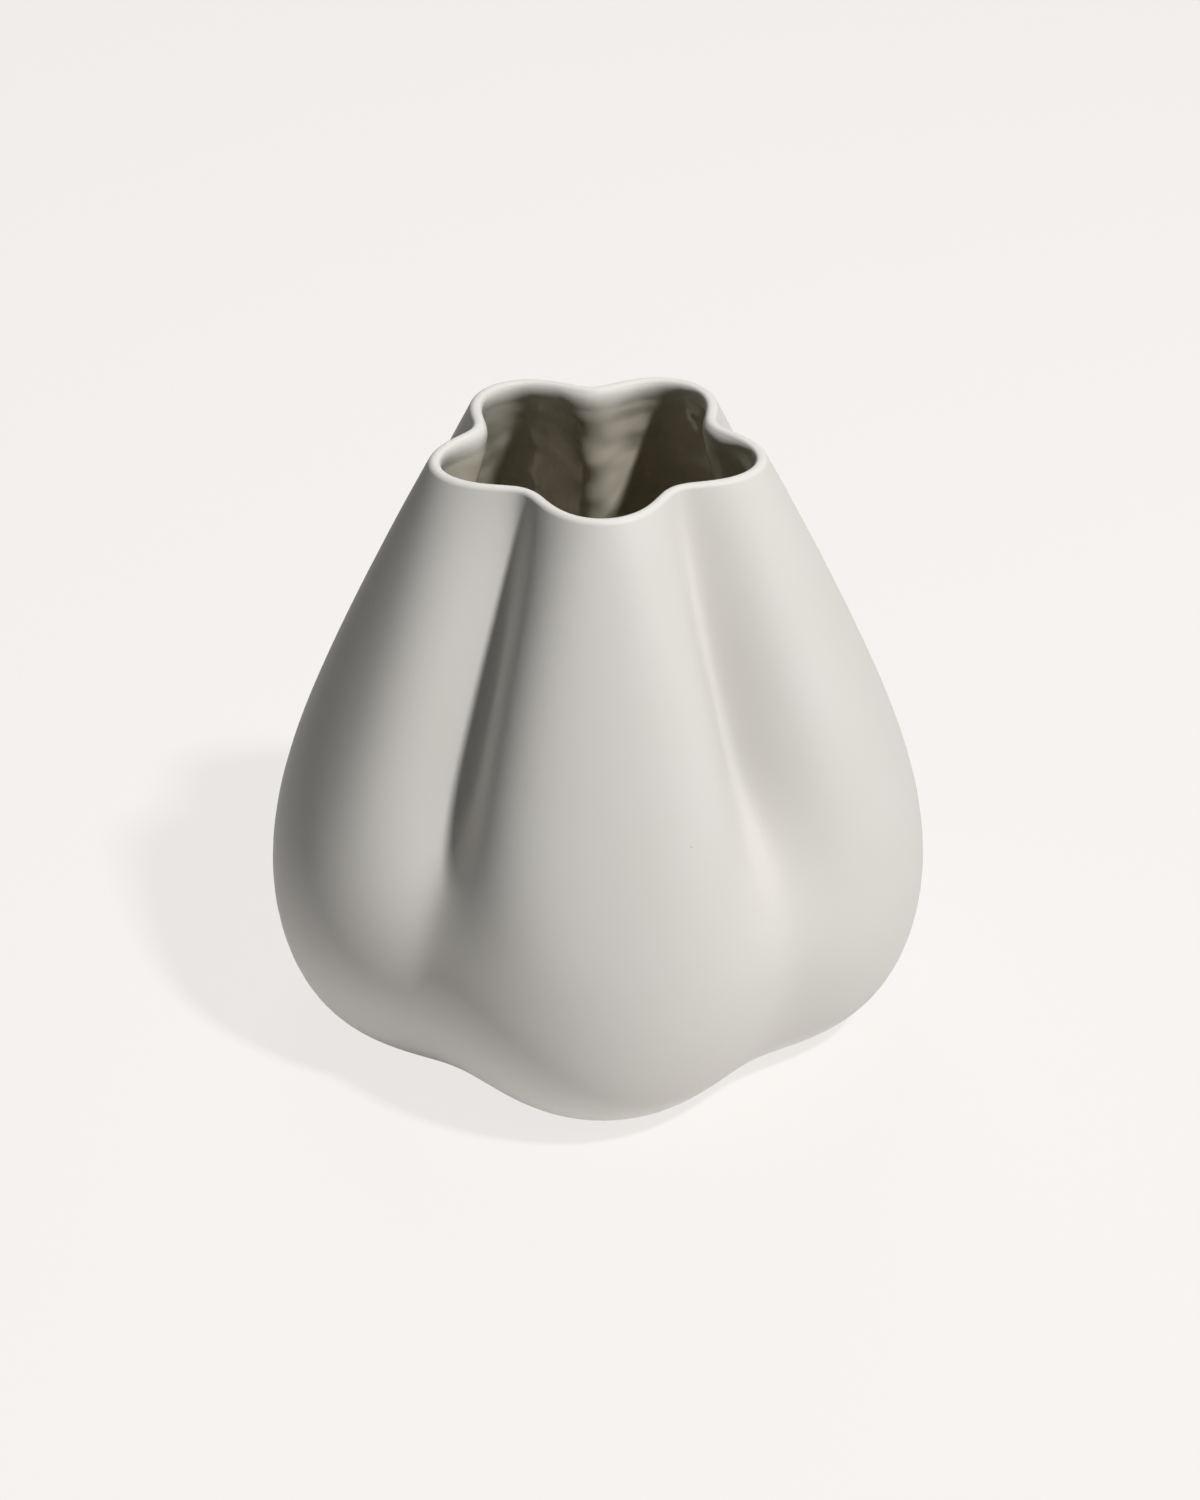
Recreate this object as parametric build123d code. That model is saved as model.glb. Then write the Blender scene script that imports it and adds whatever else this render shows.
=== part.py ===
from build123d import *
import os
from math import acos, atan, cos, hypot, pi, sin, sqrt, tau

# Five-lobed pillow vase: one slip-cast shell, glazed inside up to the lip.
# Millimetres, +Z up. The origin is the middle of the foot, on the surface that the vase stands on.
# One lobe faces the front, along -Y.

# Overall form, with radii from the axis to the tip of a lobe
LOBES = 5
HEIGHT = 200.0
BELLY_HEIGHT = 54.5  # where the lobes stand out furthest
FOOT_RADIUS = 68.5
BELLY_RADIUS = 108.8
MOUTH_RADIUS = 53.1
UNDERSIDE_POWER = 0.4  # 0.5 rounds the underside as an ellipse, less fills it out
SHOULDER_STRAIGHTNESS = 3.4  # near 0 the shoulder is a parabola, more runs it straight to the mouth

# Grooves between the lobes: depth from a lobe's tip, and how softly the groove's bottom is rounded
FOOT_GROOVE = 13.2
BELLY_GROOVE = 11.0
CREASE_GROOVE = 24.5
MOUTH_GROOVE = 12.9
CREASE_HEIGHT = 118.0  # where the grooves are deepest
FOOT_SOFTNESS = 0.8
BELLY_SOFTNESS = 0.19
CREASE_SOFTNESS = 0.18
MOUTH_SOFTNESS = 0.43
CREASE_NARROWNESS = 2.25  # 1 draws the whole lobe in towards its grooves, more leaves its face full

# Clay wall and foot
WALL = 4.6
LIP_FLAT = 0.8  # what the lip's rounding leaves level along its crest
LIP_ROLL = 9.0  # how far below the crest the inside starts to roll over to it
FOOT_RECESS_RADIUS = 44.0
FOOT_RECESS_DEPTH = 2.0
FOOT_RECESS_ROUND = 1.2

# Glaze inside, up to where the lip rolls over
GLAZE = 0.5

# Sections that the surfaces are lofted through
POINTS_PER_LOBE = 14
GROOVE_CROWDING = 0.7  # draws the points together in the grooves, 0 spaces them evenly
UNDERSIDE_SECTIONS = 6
SHOULDER_SECTIONS = 10
LIP_SECTIONS = 5
SLOPE_STEP = 0.01


def lobe_radius(height):
    """Distance from the axis to a lobe's tip: a rounded underside, and a hyperbola for the shoulder."""
    if height < BELLY_HEIGHT:
        drop = 1 - height / BELLY_HEIGHT
        return FOOT_RADIUS + (BELLY_RADIUS - FOOT_RADIUS) * (1 - drop**2) ** UNDERSIDE_POWER
    climb = (height - BELLY_HEIGHT) / (HEIGHT - BELLY_HEIGHT)
    closing = hypot(1, SHOULDER_STRAIGHTNESS * climb) - 1
    return BELLY_RADIUS - (BELLY_RADIUS - MOUTH_RADIUS) * closing / (hypot(1, SHOULDER_STRAIGHTNESS) - 1)


def lean(height):
    """How much a lobe's tip moves out for each millimetre up."""
    return (lobe_radius(height + SLOPE_STEP) - lobe_radius(height)) / SLOPE_STEP


def level_wall(height, wall):
    """How wide a wall is when it is measured level, above the belly."""
    return wall * hypot(1, lean(height))


def blend(height, foot, belly, crease, mouth):
    """Ease from the foot's value to the belly's and the crease's, then curve away to the mouth's."""
    if height > CREASE_HEIGHT:
        return crease + (mouth - crease) * ((height - CREASE_HEIGHT) / (HEIGHT - CREASE_HEIGHT)) ** 2
    if height > BELLY_HEIGHT:
        share = (height - BELLY_HEIGHT) / (CREASE_HEIGHT - BELLY_HEIGHT)
        return belly + (crease - belly) * (1 - cos(pi * share)) / 2
    return foot + (belly - foot) * (1 - cos(pi * height / BELLY_HEIGHT)) / 2


def outline(height, inset=0.0, lift=0.0):
    """Lobed section of the outer form at a height, moved in along its normals and lifted."""
    tip = lobe_radius(height)
    depth = blend(height, FOOT_GROOVE, BELLY_GROOVE, CREASE_GROOVE, MOUTH_GROOVE)
    softness = blend(height, FOOT_SOFTNESS, BELLY_SOFTNESS, CREASE_SOFTNESS, MOUTH_SOFTNESS)
    narrowness = blend(height, 1, 1, CREASE_NARROWNESS, 1)
    spread = sqrt(1 + softness**2) - softness
    points = []
    for step in range(LOBES * POINTS_PER_LOBE):
        even = tau * step / (LOBES * POINTS_PER_LOBE)
        turn = even + GROOVE_CROWDING * sin(LOBES * even) / LOBES
        wave = cos(LOBES / 2 * turn)
        rounded = sqrt(wave**2 + softness**2)
        share = 1 - (rounded - softness) / spread
        radius = tip - depth * share**narrowness
        steepness = depth * narrowness * share ** (narrowness - 1) / spread
        slope = -steepness * LOBES / 2 * wave * sin(LOBES / 2 * turn) / rounded
        normal = Vector(radius * sin(turn) - slope * cos(turn), -radius * cos(turn) - slope * sin(turn))
        place = Vector(radius * sin(turn), -radius * cos(turn), height + lift)
        points.append(place - normal.normalized() * inset)
    return Wire(Spline(*points, periodic=True))


def form(wall, floor, top):
    """The lobed form up to a height, moved in by a wall at the sides and by a floor at the bottom."""
    sections = []
    for step in range(UNDERSIDE_SECTIONS):
        height = BELLY_HEIGHT * (1 - cos(pi / 2 * step / UNDERSIDE_SECTIONS))
        outward = 1 / hypot(1, lean(height))
        sections.append(Face(outline(height, wall * outward, floor * lean(height) * outward)))
    for step in range(SHOULDER_SECTIONS + 1):
        height = BELLY_HEIGHT + (top - BELLY_HEIGHT) * step / SHOULDER_SECTIONS
        sections.append(Face(outline(height, level_wall(height, wall))))
    return loft(sections)


# The lip: outside, an arc of half the wall's thickness; inside, a long quarter ellipse that rolls over to it
lip_radius = WALL / 2
lip_tilt = atan(-lean(HEIGHT))
lip_crest = acos(LIP_FLAT / WALL)
lip_centre = HEIGHT - lip_radius * sin(lip_crest)
lip_start_inside = HEIGHT - LIP_ROLL
lip_start_outside = lip_centre + lip_radius * sin(lip_tilt)
lip_axis = lobe_radius(lip_start_outside) - lip_radius * cos(lip_tilt)
clay_floor = FOOT_RECESS_DEPTH + WALL


def band(outlines):
    """The face that goes round through a stack of outlines."""
    return loft([Face(line) for line in outlines]).faces().sort_by(Axis.Z)[1]


def lip():
    """The faces of the lip: its rounding outside, its roll inside and the crest between them."""
    rounding, roll = [], []
    for step in range(LIP_SECTIONS + 1):
        turn = lip_tilt + (lip_crest - lip_tilt) * step / LIP_SECTIONS
        height = lip_centre + lip_radius * sin(turn)
        rounding.append(outline(height, lobe_radius(height) - lip_axis - lip_radius * cos(turn)))
        turn = pi / 2 * step / LIP_SECTIONS
        height = lip_start_inside + LIP_ROLL * sin(turn)
        crest = lobe_radius(height) - lip_axis + LIP_FLAT / 2
        roll.append(outline(height, crest + (level_wall(height, WALL) - crest) * cos(turn)))
    return [band(rounding), band(roll), Face(rounding[-1], [roll[-1]])]


def ceramic_body():
    """Fired clay shell: the lobed form outside and in, closed by the lip, with a recess under the foot."""
    outside = form(0, 0, lip_start_outside).faces().sort_by(Axis.Z)[:-1]
    inside = form(WALL, clay_floor, lip_start_inside).faces().sort_by(Axis.Z)[:-1]
    clay = Solid(Shell([*outside, *inside, *lip()]))
    recess = extrude(Circle(FOOT_RECESS_RADIUS), FOOT_RECESS_DEPTH)
    recess = fillet(recess.edges().sort_by(Axis.Z)[-1], FOOT_RECESS_ROUND)
    return clay - recess


def inner_glaze():
    """Glaze fused to the inside of the clay: a thin skin that ends where the lip starts to roll over."""
    clay_side = form(WALL, clay_floor, lip_start_inside)
    open_side = form(WALL + GLAZE, clay_floor + GLAZE, lip_start_inside)
    rim = clay_side.faces().sort_by(Axis.Z)[-1]
    opening = open_side.faces().sort_by(Axis.Z)[-1]
    edge = Face(rim.outer_wire(), [opening.outer_wire()])
    skin = clay_side.faces().sort_by(Axis.Z)[:-1] + open_side.faces().sort_by(Axis.Z)[:-1]
    return Solid(Shell([*skin, edge]))


os.makedirs("parts", exist_ok=True)
for piece in (ceramic_body, inner_glaze):
    export_step(piece(), f"parts/{piece.__name__}.step")
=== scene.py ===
from math import acos, atan, cos, hypot, pi, radians, sin, sqrt, tau

import bmesh
import bpy
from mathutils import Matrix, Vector


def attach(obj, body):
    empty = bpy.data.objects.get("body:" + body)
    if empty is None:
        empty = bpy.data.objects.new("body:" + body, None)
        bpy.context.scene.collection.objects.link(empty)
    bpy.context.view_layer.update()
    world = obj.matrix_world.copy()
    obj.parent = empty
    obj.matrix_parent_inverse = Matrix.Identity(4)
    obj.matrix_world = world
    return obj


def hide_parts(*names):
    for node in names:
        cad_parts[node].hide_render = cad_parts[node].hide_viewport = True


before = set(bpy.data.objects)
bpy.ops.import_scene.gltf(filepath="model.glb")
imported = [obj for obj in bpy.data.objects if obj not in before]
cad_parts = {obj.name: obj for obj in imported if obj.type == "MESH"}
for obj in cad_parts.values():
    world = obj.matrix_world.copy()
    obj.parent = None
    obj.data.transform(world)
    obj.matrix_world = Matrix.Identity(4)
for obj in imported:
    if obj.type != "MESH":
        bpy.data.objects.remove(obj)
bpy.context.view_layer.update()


# Clay shell: the vase itself, five lobes round a hollow, cast in one from slip in a plaster mould.
# Off-white stoneware with a dry, satin face, with painted shade greying the bottoms of the grooves, its lip
# sponged to a soft roll that goes over further inside than out, its foot ground flat round a shallow recess.
lobes = 5
vase_height = 0.200
belly_height = 0.0545
foot_radius, belly_radius, mouth_radius = 0.0685, 0.1088, 0.0531
underside_power = 0.4
shoulder_straightness = 3.4
crease_height = 0.118
groove_depths = 0.0132, 0.0110, 0.0245, 0.0129
groove_softness = 0.8, 0.19, 0.26, 0.50
groove_narrowness = 1, 1, 2.4, 1
groove_crowding = 0.5
wall = 0.0046
lip_flat, lip_roll = 0.0008, 0.009
recess_radius, recess_depth, recess_round = 0.044, 0.002, 0.0012
columns = lobes * 40
underside_rows, shoulder_rows, lip_rows, recess_rows = 24, 40, 10, 5
step = 1e-5


def lobe_radius(z):
    """Distance from the axis to the tip of a lobe."""
    if z < belly_height:
        rise = 1 - (1 - z / belly_height) ** 2
        return foot_radius + (belly_radius - foot_radius) * rise**underside_power
    climb = (z - belly_height) / (vase_height - belly_height)
    closing = (hypot(1, shoulder_straightness * climb) - 1) / (hypot(1, shoulder_straightness) - 1)
    return belly_radius - (belly_radius - mouth_radius) * closing


def lean(z):
    """How far the tip of a lobe moves out for each metre up."""
    return (lobe_radius(z + step) - lobe_radius(z)) / step


def eased(z, foot, belly, crease, mouth):
    """A value that goes from the foot's to the belly's, the crease's and the mouth's."""
    if z > crease_height:
        return crease + (mouth - crease) * ((z - crease_height) / (vase_height - crease_height)) ** 2
    if z > belly_height:
        share = (z - belly_height) / (crease_height - belly_height)
        return belly + (crease - belly) * (1 - cos(pi * share)) / 2
    return foot + (belly - foot) * (1 - cos(pi * z / belly_height)) / 2


def lobed_radius(turn, z):
    """Distance from the axis to the lobed face, where turn is 0 at the front lobe's tip."""
    depth = eased(z, *groove_depths)
    softness = eased(z, *groove_softness)
    wave = cos(lobes / 2 * turn)
    share = 1 - (sqrt(wave**2 + softness**2) - softness) / (sqrt(1 + softness**2) - softness)
    return lobe_radius(z) - depth * max(0, share) ** eased(z, *groove_narrowness)


def lobed_point(turn, z, inset):
    """A point on the lobed face, moved in level and square to the face."""
    radius = lobed_radius(turn, z)
    slope = (lobed_radius(turn + step, z) - lobed_radius(turn - step, z)) / (2 * step)
    out = Vector((-sin(turn), -cos(turn), 0))
    along = Vector((-cos(turn), sin(turn), 0))
    return out * radius + Vector((0, 0, z)) - (out * radius - along * slope).normalized() * inset


def wall_line(inset, floor, top):
    """Section through a lobe's tip from the foot up to a top, moved in by a wall and up by a floor."""
    line = []
    for row in range(underside_rows):
        z = belly_height * (1 - cos(pi / 2 * row / underside_rows))
        outward = 1 / hypot(1, lean(z))
        line.append(Vector((0, inset * outward - lobe_radius(z), z + floor * lean(z) * outward)))
    for row in range(shoulder_rows + 1):
        z = belly_height + (top - belly_height) * row / shoulder_rows
        line.append(Vector((0, inset * hypot(1, lean(z)) - lobe_radius(z), z)))
    return line


def lobed_solid(profile):
    """A closed section spun round the axis, then pressed into lobes outside the recess."""
    bm = bmesh.new()
    line = [bm.verts.new(point) for point in profile]
    for low, high in zip(line, line[1:]):
        bm.edges.new((low, high))
    bmesh.ops.spin(
        bm, geom=bm.verts[:] + bm.edges[:], cent=(0, 0, 0), axis=(0, 0, 1),
        angle=tau, steps=columns, use_merge=True,
    )
    bmesh.ops.remove_doubles(bm, verts=bm.verts, dist=1e-6)
    bmesh.ops.recalc_face_normals(bm, faces=bm.faces)
    for vert in bm.verts:
        out = vert.co.xy.length
        if out > recess_radius + step:
            even = Vector((0, -1)).angle_signed(vert.co.xy)
            turn = even + groove_crowding * sin(lobes * even) / lobes
            vert.co = lobed_point(turn, vert.co.z, lobe_radius(vert.co.z) - out)
    return bm


def smooth_piece(name, bm):
    """A finished mesh object at the origin, shaded smooth."""
    mesh = bpy.data.meshes.new(name)
    bm.to_mesh(mesh)
    bm.free()
    mesh.shade_smooth()
    piece = bpy.data.objects.new(name, mesh)
    bpy.context.scene.collection.objects.link(piece)
    return piece


lip_radius = wall / 2
lip_tilt = atan(-lean(vase_height))
lip_crest = acos(lip_flat / wall)
lip_centre = vase_height - lip_radius * sin(lip_crest)
lip_start_inside = vase_height - lip_roll
lip_start_outside = lip_centre + lip_radius * sin(lip_tilt)
lip_axis = lobe_radius(lip_start_outside) - lip_radius * cos(lip_tilt)
clay_floor = recess_depth + wall


def roll_point(turn, proud):
    """A point where the lip rolls over inside, from 0 at its start to a quarter turn at the crest."""
    z = lip_start_inside + lip_roll * sin(turn)
    crest = lip_axis - lip_flat / 2
    inside = lobe_radius(z) - wall * hypot(1, lean(z))
    return Vector((0, proud - crest - (inside - crest) * cos(turn), z))


section = [Vector((0, 0, recess_depth))]
for row in range(recess_rows):
    turn = pi / 2 * row / (recess_rows - 1)
    out = recess_radius - recess_round * (1 - sin(turn))
    section.append(Vector((0, -out, recess_depth - recess_round * (1 - cos(turn)))))
section.append(Vector((0, -recess_radius, 0)))
section += wall_line(0, 0, lip_start_outside)
for row in range(1, lip_rows + 1):
    turn = lip_tilt + (lip_crest - lip_tilt) * row / lip_rows
    section.append(Vector((0, -lip_axis - lip_radius * cos(turn), lip_centre + lip_radius * sin(turn))))
section += [roll_point(pi / 2 * row / lip_rows, 0) for row in range(lip_rows, 0, -1)]
section += reversed(wall_line(wall, clay_floor, lip_start_inside))
section.append(Vector((0, 0, clay_floor)))
shell = smooth_piece("clay_shell", lobed_solid(section))


class Signal:
    """A value in a finish's node tree. Arithmetic adds Math nodes, and node() adds any other kind."""

    def __init__(self, tree, socket=None):
        self.tree = tree
        self.socket = socket

    def node(self, kind, settings, sockets, output=0):
        made = self.tree.nodes.new(kind)
        for name, value in settings.items():
            setattr(made, name, value)
        for name, value in sockets.items():
            if isinstance(value, Signal):
                self.tree.links.new(value.socket, made.inputs[name])
            else:
                made.inputs[name].default_value = value
        return Signal(self.tree, made.outputs[output])

    def maths(self, operation, first, second):
        return self.node("ShaderNodeMath", {"operation": operation}, {0: first, 1: second})

    def __add__(self, other):
        return self.maths("ADD", self, other)

    def __radd__(self, other):
        return self.maths("ADD", other, self)

    def __sub__(self, other):
        return self.maths("SUBTRACT", self, other)

    def __rsub__(self, other):
        return self.maths("SUBTRACT", other, self)

    def __mul__(self, other):
        return self.maths("MULTIPLY", self, other)

    def __rmul__(self, other):
        return self.maths("MULTIPLY", other, self)

    def __gt__(self, other):
        return self.maths("GREATER_THAN", self, other)

    def __lt__(self, other):
        return self.maths("LESS_THAN", self, other)


def finish(name, piece):
    """A new finish on a piece: its Principled shader's sockets, and a signal that starts its nodes."""
    material = bpy.data.materials.new(name)
    material.use_nodes = True
    piece.data.materials.clear()
    piece.data.materials.append(material)
    return material.node_tree.nodes["Principled BSDF"].inputs, Signal(material.node_tree)


def noise(start, place, scale, detail):
    """Noise from 0 to 1, with its scale in cycles a metre."""
    sockets = {"Vector": place, "Scale": scale, "Detail": detail}
    return start.node("ShaderNodeTexNoise", {}, sockets)


def tinted(share, first, second):
    """One colour, or a share of another over it."""
    colours = {"Factor": share, 6: first, 7: second}
    return share.node("ShaderNodeMix", {"data_type": "RGBA"}, colours, 2)


def ramped(value, low, high):
    """A soft step from 0 at a low value to 1 at a high one."""
    limits = {"Value": value, "From Min": low, "From Max": high}
    return value.node("ShaderNodeMapRange", {"interpolation_type": "SMOOTHSTEP"}, limits)


clay_white = 0.752, 0.730, 0.686, 1
clay_warm = 0.722, 0.690, 0.630, 1
# The grey below is painted shade for the bottoms of the grooves.
groove_shade_grey = 0.660, 0.642, 0.605, 1
clay_bare = 0.640, 0.600, 0.530, 1
speck_brown = 0.30, 0.26, 0.21, 1
cloud_cycles, grain_cycles, speck_cycles, speck_patch_cycles = 28, 1500, 95, 33
foot_edge = 0.0006
groove_shade_start, groove_shade_full, groove_shade_waning, groove_shade_gone = 0.085, 0.115, 0.125, 0.190
groove_shade_tightness = 25

sockets, start = finish("matte_clay", shell)
place = start.node("ShaderNodeTexCoord", {}, {}, "Object")
cloud = noise(start, place, cloud_cycles, 3)
grain = noise(start, place, grain_cycles, 2)
cells = {"Vector": place, "Scale": speck_cycles, "Randomness": 1.0}
speck_distance = start.node("ShaderNodeTexVoronoi", {}, cells)
speck = (speck_distance < 0.018 + 0.012 * cloud) * (noise(start, place, speck_patch_cycles, 0) > 0.6)
across = start.node("ShaderNodeSeparateXYZ", {}, {"Vector": place}, "X")
back = start.node("ShaderNodeSeparateXYZ", {}, {"Vector": place}, "Y")
height = start.node("ShaderNodeSeparateXYZ", {}, {"Vector": place}, "Z")
foot = height < foot_edge
turn = start.maths("ARCTAN2", across, 0 - back) * (lobes / 2)
wave = start.node("ShaderNodeMath", {"operation": "COSINE"}, {0: turn})
# Painted shade: the bottoms of the grooves are tinted grey from above the belly to below the mouth,
# darkening them as shade in the creases would.
painted_groove_shade = start.maths("POWER", 1 - wave * wave, groove_shade_tightness) * ramped(height, groove_shade_start, groove_shade_full)
painted_groove_shade = painted_groove_shade * (1 - ramped(height, groove_shade_waning, groove_shade_gone))
colour = tinted((cloud - 0.35) * 0.9, clay_white, clay_warm)
colour = tinted(painted_groove_shade, colour, groove_shade_grey)
colour = tinted(foot * 0.8, colour, clay_bare)
colour = tinted(speck * 0.55, colour, speck_brown)
rough = 0.52 + 0.10 * grain + 0.2 * foot
surface = start.node("ShaderNodeBump", {}, {"Strength": 0.12, "Distance": 0.0002, "Height": grain})
for name, signal in {"Base Color": colour, "Roughness": rough, "Normal": surface}.items():
    start.tree.links.new(signal.socket, sockets[name])
sockets["Specular IOR Level"].default_value = 0.4
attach(shell, "root")
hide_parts("ceramic_body")


# Glaze lining: a thin glassy coat that was poured in, swilled round and tipped out before firing.
# Clear olive-grey glass over the clay, glossy and a little wavy, thinning out where the lip was wiped.
glaze = 0.0005
glaze_bite = 0.0001
glaze_end = radians(72)
section = [Vector((0, 0, clay_floor + glaze))]
section += wall_line(wall + glaze, clay_floor + glaze, lip_start_inside)
for row in range(1, lip_rows + 1):
    turn = glaze_end * row / lip_rows
    section.append(roll_point(turn, glaze * (cos(turn) - cos(glaze_end)) - glaze_bite * row / lip_rows))
section += [roll_point(glaze_end * row / lip_rows, -glaze_bite * 2) for row in range(lip_rows, 0, -1)]
section += reversed(wall_line(wall - glaze_bite, clay_floor - glaze_bite, lip_start_inside))
section.append(Vector((0, 0, clay_floor - glaze_bite)))
lining = smooth_piece("glaze_lining", lobed_solid(section))

glaze_olive = 0.60, 0.56, 0.44, 1
glaze_pale = 0.66, 0.625, 0.53, 1
pool_cycles, ripple_cycles = 22, 60
wiped_depth = 0.012
sockets, start = finish("clear_glaze", lining)
place = start.node("ShaderNodeTexCoord", {}, {}, "Object")
pooled = noise(start, place, pool_cycles, 2)
ripple = noise(start, place, ripple_cycles, 1)
height = start.node("ShaderNodeSeparateXYZ", {}, {"Vector": place}, "Z")
thin = ramped(height, vase_height - wiped_depth, vase_height)
colour = tinted(pooled, glaze_olive, glaze_pale)
colour = tinted(thin, colour, clay_white)
rough = 0.04 + 0.04 * pooled + 0.36 * thin
surface = start.node("ShaderNodeBump", {}, {"Strength": 0.6, "Distance": 0.004, "Height": ripple})
for name, signal in {"Base Color": colour, "Roughness": rough, "Normal": surface}.items():
    start.tree.links.new(signal.socket, sockets[name])
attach(lining, "root")
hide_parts("inner_glaze")


# Floor: a plain white sheet that the vase stands on, in a room that is darker beyond it.
# It shows as an even pale ground to the camera and in reflections, and keeps the vase's shadow.
sheet_white = 0.94, 0.93, 0.92, 1
room_grey = 0.12, 0.12, 0.12, 1
ground_colour = 0.930, 0.897, 0.872, 1
ground_share = 0.86
sheet_near, sheet_far = 0.18, 0.45
floor_reach = 6
bm = bmesh.new()
bmesh.ops.create_grid(bm, x_segments=1, y_segments=1, size=floor_reach)
floor = smooth_piece("floor", bm)
sockets, start = finish("pale_floor", floor)
path = start.tree.nodes.new("ShaderNodeLightPath")
seen = Signal(start.tree, path.outputs["Is Camera Ray"]) + Signal(start.tree, path.outputs["Is Glossy Ray"])
seen = seen + Signal(start.tree, path.outputs["Is Transmission Ray"])
place = start.node("ShaderNodeTexCoord", {}, {}, "Object")
reach = start.node("ShaderNodeVectorMath", {"operation": "LENGTH"}, {0: place}, "Value")
colour = tinted(ramped(reach, sheet_near, sheet_far) * (1 - seen), sheet_white, room_grey)
start.tree.links.new(colour.socket, sockets["Base Color"])
sockets["Roughness"].default_value = 0.9
sockets["Specular IOR Level"].default_value = 0.1
glow = start.node("ShaderNodeEmission", {}, {"Color": ground_colour, "Strength": 1.0})
lit = Signal(start.tree, start.tree.nodes["Principled BSDF"].outputs[0])
shown = start.node("ShaderNodeMixShader", {}, {0: seen * ground_share, 1: lit, 2: glow})
start.tree.links.new(shown.socket, start.tree.nodes["Material Output"].inputs["Surface"])


# Studio light: a small lamp high on the right of the camera, a wide soft one behind, and a dim room whose
# pale walls show only to the camera and in reflections.
def lamp_at(name, turn, rise, size, energy):
    """A round lamp that faces the vase from a turn round it, 0 at the front, and a rise above the floor."""
    away = Vector((sin(turn) * cos(rise), -cos(turn) * cos(rise), sin(rise)))
    lamp = bpy.data.lights.new(name, "AREA")
    lamp.shape = "DISK"
    lamp.size = size
    lamp.energy = energy
    holder = bpy.data.objects.new(name, lamp)
    holder.location = Vector((0, 0, vase_height / 2)) + away * lamp_distance
    holder.rotation_euler = away.to_track_quat("Z", "Y").to_euler()
    bpy.context.scene.collection.objects.link(holder)


lamp_distance = 2.5
room_light, room_mirrored, room_seen = 0.010, 0.60, 0.85
lamp_at("key_lamp", radians(49.5), radians(55), 0.22, 61.5)
lamp_at("back_lamp", radians(184), radians(54), 1.2, 11)
room = bpy.data.worlds.new("dim_room")
room.use_nodes = True
air = room.node_tree.nodes["Background"]
air.inputs["Color"].default_value = 0.95, 0.97, 1.0, 1
path = room.node_tree.nodes.new("ShaderNodeLightPath")
brightness = room_light + room_mirrored * Signal(room.node_tree, path.outputs["Is Glossy Ray"])
brightness = brightness + room_seen * Signal(room.node_tree, path.outputs["Is Camera Ray"])
room.node_tree.links.new(brightness.socket, air.inputs["Strength"])
bpy.context.scene.world = room


# Camera: a long lens a metre away, looking down on the shoulder and into the mouth.
camera_turn, camera_rise, camera_distance = radians(-2.05), radians(31.7), 1.0
camera_from = Vector((
    sin(camera_turn) * cos(camera_rise), -cos(camera_turn) * cos(camera_rise), sin(camera_rise),
))
lens = bpy.data.cameras.new("camera")
lens.lens = 73.66
lens.shift_x, lens.shift_y = 0.0021, -0.0123
camera = bpy.data.objects.new("camera", lens)
camera.location = Vector((0, 0, 0.095)) + camera_from * camera_distance
camera.rotation_euler = camera_from.to_track_quat("Z", "Y").to_euler()
bpy.context.scene.collection.objects.link(camera)
bpy.context.scene.camera = camera
bpy.context.scene.view_settings.view_transform = "Standard"
